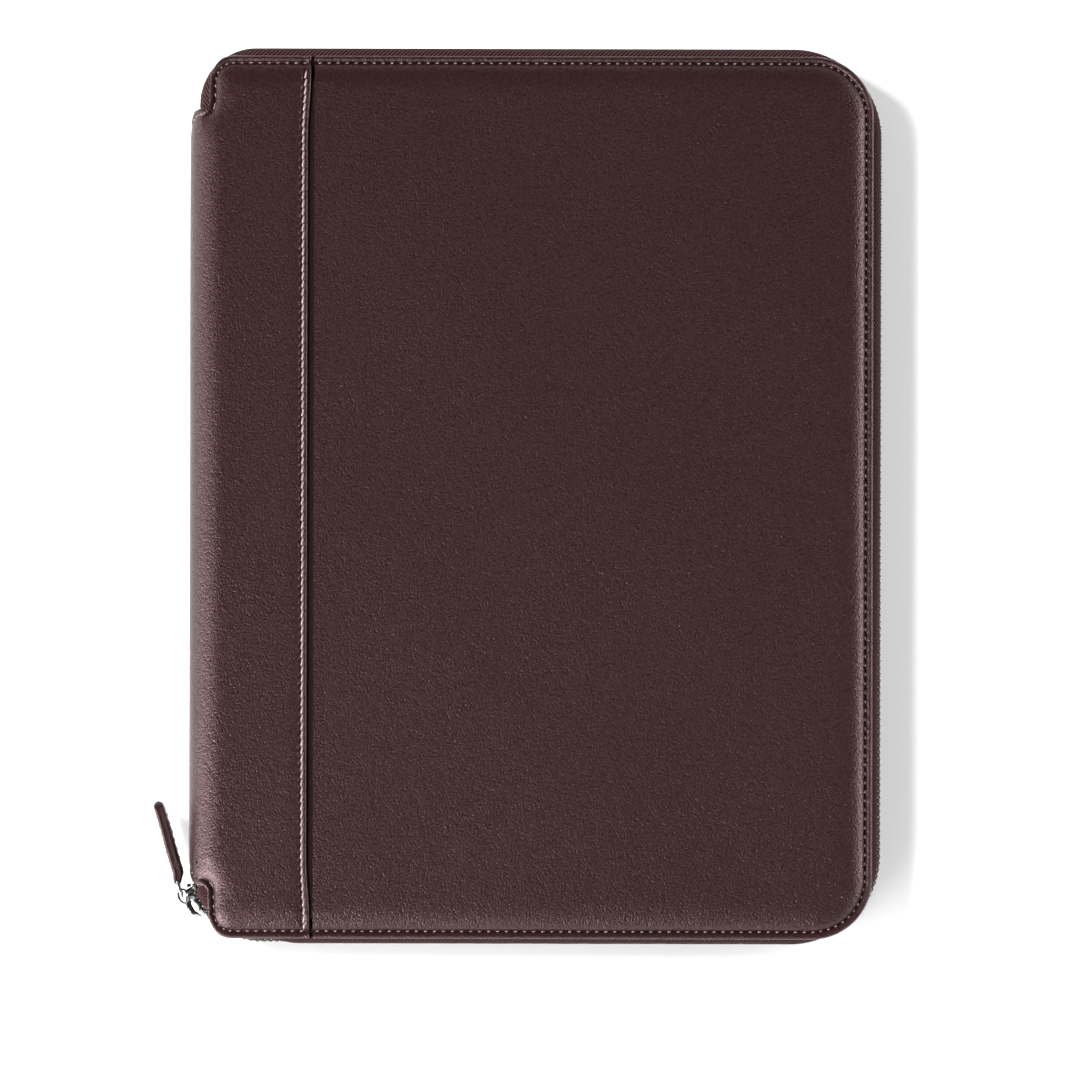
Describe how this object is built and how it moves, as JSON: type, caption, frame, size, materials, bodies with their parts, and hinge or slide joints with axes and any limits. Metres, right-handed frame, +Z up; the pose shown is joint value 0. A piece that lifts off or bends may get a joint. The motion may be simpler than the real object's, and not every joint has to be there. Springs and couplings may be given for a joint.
{
  "type": "portfolio case",
  "caption": "Zip-around leather portfolio case with a padded front and back cover, a rounded spine, an outer slip pocket and a fitted interior.",
  "frame": {"origin": "middle of the back cover's outer face, which the closed case lies on", "axes": "+X from the spine to the zipped fore edge, +Y along the spine, +Z up through the closed case"},
  "size_m": [0.2754, 0.3364, 0.025],
  "materials": {
    "leather": "satin",
    "puller_leather": "satin",
    "inner_leather": "satin",
    "lining": "matte",
    "zip_tape": "matte",
    "zip_coil": "satin",
    "slider_metal": "polished",
    "foam": "matte",
    "board": "matte"
  },
  "bodies": {
    "back_cover": {"back_leather": "leather", "back_foam": "foam", "back_board": "board", "back_lining": "lining", "pad_sleeve": "inner_leather", "pen_loop": "inner_leather", "zip_tape_back": "zip_tape", "zip_coil_back": "zip_coil"},
    "spine": {"spine_leather": "leather", "spine_stay": "foam", "spine_lining": "lining", "zip_tape_back_ends": "zip_tape", "zip_tape_front_ends": "zip_tape", "zip_coil_back_ends": "zip_coil", "zip_coil_front_ends": "zip_coil", "zip_top_stops": "slider_metal", "zip_bottom_stop": "slider_metal"},
    "front_cover": {"front_flank_leather": "leather", "front_pocket_panel": "leather", "front_pocket_lining": "lining", "front_foam": "foam", "front_board": "board", "front_lining": "lining", "document_pocket": "inner_leather", "card_slot_1": "inner_leather", "card_slot_2": "inner_leather", "card_slot_3": "inner_leather", "zip_tape_front": "zip_tape", "zip_coil_front": "zip_coil"},
    "slider": {"slider_body": "slider_metal"},
    "pull_link": {"pull_link": "slider_metal"},
    "puller": {"leather_puller": "puller_leather"}
  },
  "joints": [
    {"name": "spine_fold", "type": "hinge", "parent": "back_cover", "child": "spine", "pos_m": [-0.12534, 0, 0.00366], "axis": [0, -1, 0], "range_deg": [0, 90]},
    {"name": "cover_fold", "type": "hinge", "parent": "spine", "child": "front_cover", "pos_m": [-0.12534, 0, 0.02134], "axis": [0, -1, 0], "range_deg": [0, 90]},
    {"name": "slider_travel", "type": "hinge", "parent": "spine", "child": "slider", "pos_m": [-0.101, -0.138, 0.0125], "axis": [0, 0, 1], "range_deg": [0, 50]},
    {"name": "link_swing", "type": "hinge", "parent": "slider", "child": "pull_link", "pos_m": [-0.13149, -0.15099, 0.0125], "axis": [0, 0, 1], "range_deg": [0, 150]},
    {"name": "puller_swing", "type": "hinge", "parent": "pull_link", "child": "puller", "pos_m": [-0.13323, -0.14524, 0.0125], "axis": [0, 0, 1], "range_deg": [0, 60]}
  ]
}
